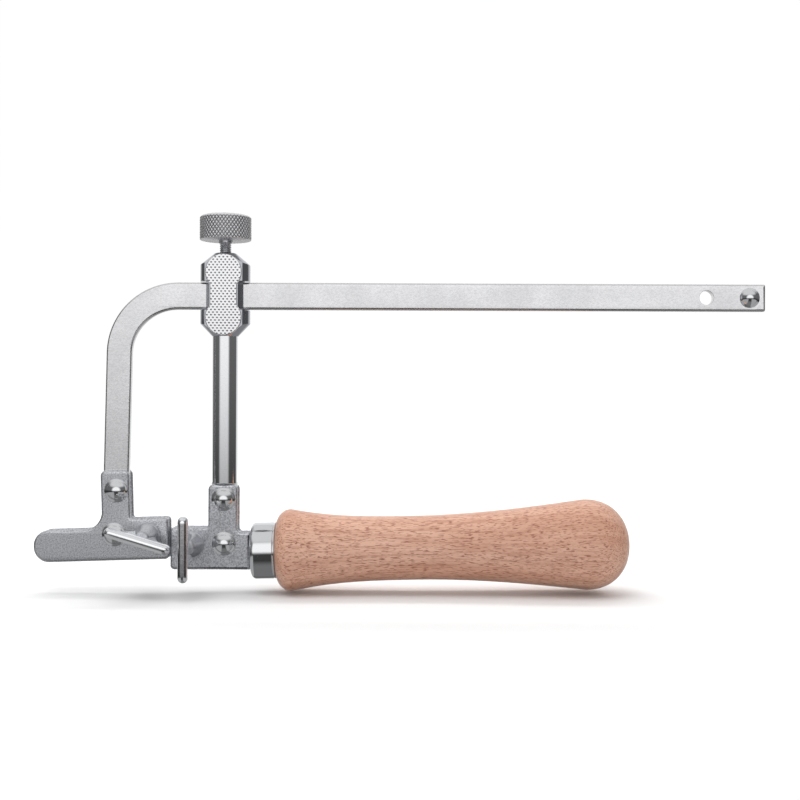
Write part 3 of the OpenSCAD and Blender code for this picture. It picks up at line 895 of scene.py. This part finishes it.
def make_knob():
    """The thumb screw's head, with a diamond knurl cut into its side."""
    radius = (knob_high.x - knob_low.x) / 2
    low, high = knob_low.z, knob_high.z
    around, cells, cell_h, depth = 576, 44, 1.62, 0.21
    chamfer, crown_w, crown_h, crown_rows = 0.08, 2.2, 1.1, 12
    rows = 84
    z_low, z_high = low + chamfer, high - crown_h
    verts_rings, groove = [], []
    place = upright(POST_X)

    def add_ring(r, z, cut):
        ring = []
        for i in range(around):
            u, v = cells * i / around, (z - low) / cell_h
            a, b = (u + v) % 1, (u - v) % 1
            crest = min(2 * min(a, 1 - a), 2 * min(b, 1 - b))
            hollow = cut * (1 - min(1.0, crest * 1.25))
            angle = math.tau * i / around
            deep = r - depth * hollow
            ring.append(place(deep * math.cos(angle), deep * math.sin(angle), z))
            groove.append(hollow)
        verts_rings.append(ring)

    add_ring(0.01, low, 0.0)
    add_ring(radius - 2 * chamfer, low, 0.0)
    for k in range(rows + 1):
        add_ring(radius, z_low + (z_high - z_low) * k / rows, 1.0)
    for k in range(1, crown_rows + 1):
        t = k / crown_rows
        add_ring(radius - crown_w * (1 - math.sqrt(1 - t * t)), z_high + crown_h * t, 1 - t)
    add_ring(0.01, high, 0.0)
    knob = skin("thumb_screw_knurled_head", verts_rings, 180)
    knob.modifiers.clear()
    groove += [0.0, 0.0]
    # groove depth; the material reads it as painted shade in the grooves
    attribute = knob.data.attributes.new("groove", "FLOAT", "POINT")
    attribute.data.foreach_set("value", groove)
    finish_piece(knob, "thumb_screw", "knurled_steel", KNURLED, "thumb_screw_knob")


def make_plug():
    low, high = mm_box("pressure_plug")
    r = (high.x - low.x) / 2
    plug = lathe("pressure_plug_turned", upright(POST_X),
                 [(0, low.z, 0), (r, low.z, 0.25), (r, high.z, 0.25), (0, high.z, 0)], 64)
    finish_piece(plug, "pressure_plug", "brass", BRASS, "pressure_plug")


# ---- handle, ferrule and tang ----

def handle_outline():
    """Radius along the wood: round shoulder, front bulge, long waist, palm bulge and domed end."""
    length = 117.2
    shoulder_r, front_r, waist_r, rear_r = 8.0, 13.6, 10.6, 15.0
    bulge_s, waist_s, palm_s = 5.0, 46.0, 102.5
    dome_power, steps = 2.2, 40
    points = []
    for i in range(steps):
        t = 1 - math.cos(math.pi / 2 * i / steps)
        points.append((shoulder_r + (front_r - shoulder_r) * math.sqrt(1 - (1 - t) ** 2), bulge_s * t))
    for i in range(steps):
        t = i / steps
        points.append((waist_r + (front_r - waist_r) * (1 - t) ** 3, bulge_s + (waist_s - bulge_s) * t))
    for i in range(steps):
        t = i / steps
        points.append((waist_r + (rear_r - waist_r) * t * t * (1.35 - 0.35 * t),
                       waist_s + (palm_s - waist_s) * t))
    for i in range(steps):
        t = math.sin(math.pi / 2 * i / steps)
        points.append((rear_r * (1 - t ** dome_power) ** (1 / dome_power), palm_s + (length - palm_s) * t))
    points.append((0.01, length))
    return [(r, WOOD_FRONT + s) for r, s in points]


def make_handle():
    outline = handle_outline()
    tenon_r, tenon_len, overlap = 8.5, 7.0, 0.2
    tenon_ends = (WOOD_FRONT - tenon_len, WOOD_FRONT + overlap)
    rings = [ring_at(along_handle, tenon_r, s, 128) for s in tenon_ends]
    rings += [ring_at(along_handle, r, s, 128) for r, s in outline if r > tenon_r - 0.3 or s > 0]
    wood = skin("turned_handle", rings, 70)
    finish_piece(wood, "handle_frame", "wood", WOOD, "handle")


def make_ferrule():
    """A drawn cup: rounded front lip, straight side and a fine rolled line at the rear."""
    radius, lip, line_depth, wall = 9.3, 1.6, 0.18, 1.4
    front, rear = FERRULE_FRONT, WOOD_FRONT
    corners = [(0, front, 0), (radius, front, lip), (radius, rear - 0.9, 0),
               (radius - line_depth, rear - 0.7, 0), (radius, rear - 0.5, 0), (radius, rear, 0.2),
               (radius - wall, rear + 0.05, 0), (0, rear, 0)]
    cup = lathe("drawn_ferrule", along_handle, corners, 128, 10)
    finish_piece(cup, "handle_frame", "chrome", CHROME, "ferrule")


def make_tang():
    """A flat riveted between the rear cheeks, and the rod that goes on into the wood."""
    low = mm_box("tang")[0]
    half_gap = -mm_box("rear_jaw_front_cheek")[1].y
    top, rod_r, rod_start, rod_end = 4.2, 2.5, TANG_RIGHT - 1, -10.0
    corners = rounded([(low.x, low.z, 0.4), (TANG_RIGHT, low.z, 0), (TANG_RIGHT, top, 0),
                       (low.x, top, 0.4)])
    flat = plate("tang_flat", corners, [circle(*REAR_RIVETS[1], RIVET_R)], -half_gap, half_gap, 0.15, 0.1)
    finish_piece(flat, "handle_frame", "jaw_steel", REAR_JAW_PLATE)
    rod = lathe("tang_rod", along_handle, [(0, rod_start, 0), (rod_r, rod_start, 0),
                                          (rod_r, rod_end, 0.4), (0, rod_end, 0)], 48)
    finish_piece(rod, "handle_frame", "jaw_steel", REAR_JAW_PLATE, "tang")
    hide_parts("tang")


make_back_bar()
make_rivets()
make_cheeks()
make_bushes()
make_wing_screw("front", FRONT_SCREW, FRONT_WING_TURN, "front_wing_screw")
make_wing_screw("rear", REAR_SCREW, REAR_WING_TURN, "rear_wing_screw")
make_clamp_pads()
make_clamp_block()
make_chequered_pad("chequered_pad_front", -1)
make_chequered_pad("chequered_pad_back", 1)
make_post()
make_thumb_screw()
make_knob()
make_plug()
make_handle()
make_ferrule()
make_tang()


# ---- floor, light and camera ----

def make_floor():
    """A pale floor that rises into a wall well behind the saw."""
    level = cad_box[0].z - 0.0005
    front, wall_y, bend_r, top, half = -3.0, 1.1, 0.35, 2.6, 3.0
    line = [(front, level), (wall_y - bend_r, level)]
    for k in range(1, 17):
        a = math.pi / 2 * k / 16
        line.append((wall_y - bend_r + bend_r * math.sin(a), level + bend_r * (1 - math.cos(a))))
    line.append((wall_y, top))
    verts = [(x, y, z) for y, z in line for x in (-half, half)]
    faces = [(2 * i, 2 * i + 1, 2 * i + 3, 2 * i + 2) for i in range(len(line) - 1)]
    floor = make_object("studio_floor", verts, faces, 1.0)
    floor.data.shade_smooth()
    paper = Shader("pale_paper", Roughness=0.9, Emission_Color=(1, 1, 1, 1))
    # far from the saw the paper glows like the tent, so that it has no horizon
    reach = paper.add("ShaderNodeVectorMath", Vector=paper.coordinates)
    reach.operation = "LENGTH"
    far = paper.spread(reach.outputs["Value"], 0.3, 0.8)
    paper.set("Base Color", paper.mix(far, (0.84, 0.84, 0.84, 1), (0, 0, 0, 1)))
    paper.set("Emission Strength", far)
    paper.set("Normal", paper.bump(paper.noise((0.4, 0.4, 0.4), detail=2), 0.01, 0.2))
    floor.data.materials.append(paper.material)
    # the metal mirrors the tent below the saw, which is darker than the paper
    floor.visible_glossy = False


def area_light(name, place, target, size, power, colour=(1, 1, 1)):
    lamp = bpy.data.lights.new(name, "AREA")
    lamp.shape = "RECTANGLE"
    lamp.size, lamp.size_y = size
    lamp.energy = power
    lamp.color = colour
    holder = bpy.data.objects.new(name, lamp)
    holder.location = place
    holder.rotation_euler = (Vector(target) - Vector(place)).to_track_quat("-Z", "Y").to_euler()
    # the metal mirrors the tent alone
    holder.visible_glossy = False
    bpy.context.scene.collection.objects.link(holder)


def make_light():
    """A studio tent: bright in front and overhead, dimmer at the sides and low in front."""
    world = bpy.data.worlds.new("studio_tent")
    world.use_nodes = True
    bpy.context.scene.world = world
    tree = world.node_tree
    background = tree.nodes["Background"]
    background.inputs["Color"].default_value = (1, 1, 1, 1)

    def node(kind, **settings):
        made = tree.nodes.new(kind)
        for key, value in settings.items():
            setattr(made, key, value)
        return made

    def spread(value, low, high, to_low, to_high):
        made = node("ShaderNodeMapRange", interpolation_type="SMOOTHSTEP")
        tree.links.new(value, made.inputs["Value"])
        for socket, v in zip(("From Min", "From Max", "To Min", "To Max"), (low, high, to_low, to_high)):
            made.inputs[socket].default_value = v
        return made.outputs["Result"]

    def combine(operation, a, b):
        made = node("ShaderNodeMath", operation=operation)
        for socket, v in zip(made.inputs, (a, b)):
            if isinstance(v, float):
                socket.default_value = v
            else:
                tree.links.new(v, socket)
        return made.outputs["Value"]

    direction = node("ShaderNodeSeparateXYZ")
    tree.links.new(node("ShaderNodeTexCoord").outputs["Generated"], direction.inputs["Vector"])
    side, depth, height = (direction.outputs[axis] for axis in "XYZ")
    front = combine("MULTIPLY", spread(depth, -0.88, -0.62, 1.0, 0.13),
                    spread(height, -0.19, 0.07, 0.05, 1.09))
    back = combine("MULTIPLY", spread(depth, 0.5, 0.8, 0.0, 0.9), spread(height, -0.7, 0.0, 0.15, 1.0))
    above = spread(height, 0.3, 0.75, 0.0, 0.72)
    below = spread(height, -0.9, -0.5, 0.18, 0.03)
    low_sides = combine("MULTIPLY", spread(combine("ABSOLUTE", side, 0.0), 0.22, 0.42, 0.0, 0.4),
                        spread(height, -0.3, -0.18, 1.0, 0.0))
    tent = combine("MAXIMUM", combine("MAXIMUM", front, back), combine("MAXIMUM", above, below))
    tent = combine("MAXIMUM", tent, low_sides)
    # what the camera sees past the floor is plain and pale
    seen = node("ShaderNodeLightPath").outputs["Is Camera Ray"]
    shown = node("ShaderNodeMix", data_type="FLOAT")
    tree.links.new(seen, shown.inputs["Factor"])
    tree.links.new(tent, shown.inputs["A"])
    shown.inputs["B"].default_value = 1.0
    tree.links.new(shown.outputs["Result"], background.inputs["Strength"])
    area_light("overhead", (-0.2, -0.1, 0.75), (0, 0, 0.04), (0.7, 0.5), 3)
    area_light("wall_wash", (0, 0.5, 0.9), (0, 1.1, 0.2), (2.0, 0.4), 14)


def make_camera():
    """Straight at the saw from the front, rolled a touch so that the bar falls to the right."""
    place, roll, seen_width = Vector((-17.69, -383.33, 48.87)), math.radians(0.22), 266.67
    camera = bpy.data.cameras.new("camera")
    camera.sensor_width = 36
    camera.lens = camera.sensor_width * -place.y / seen_width
    camera.clip_start, camera.clip_end = 0.01, 50
    holder = bpy.data.objects.new("camera", camera)
    right = Vector((math.cos(roll), 0, math.sin(roll)))
    up = Vector((-math.sin(roll), 0, math.cos(roll)))
    turn = Matrix((right, up, right.cross(up))).transposed()
    holder.matrix_world = Matrix.Translation(place * MM) @ turn.to_4x4()
    bpy.context.scene.collection.objects.link(holder)
    bpy.context.scene.camera = holder


make_floor()
make_light()
make_camera()
bpy.context.scene.view_settings.view_transform = "Standard"

bpy.context.view_layer.update()
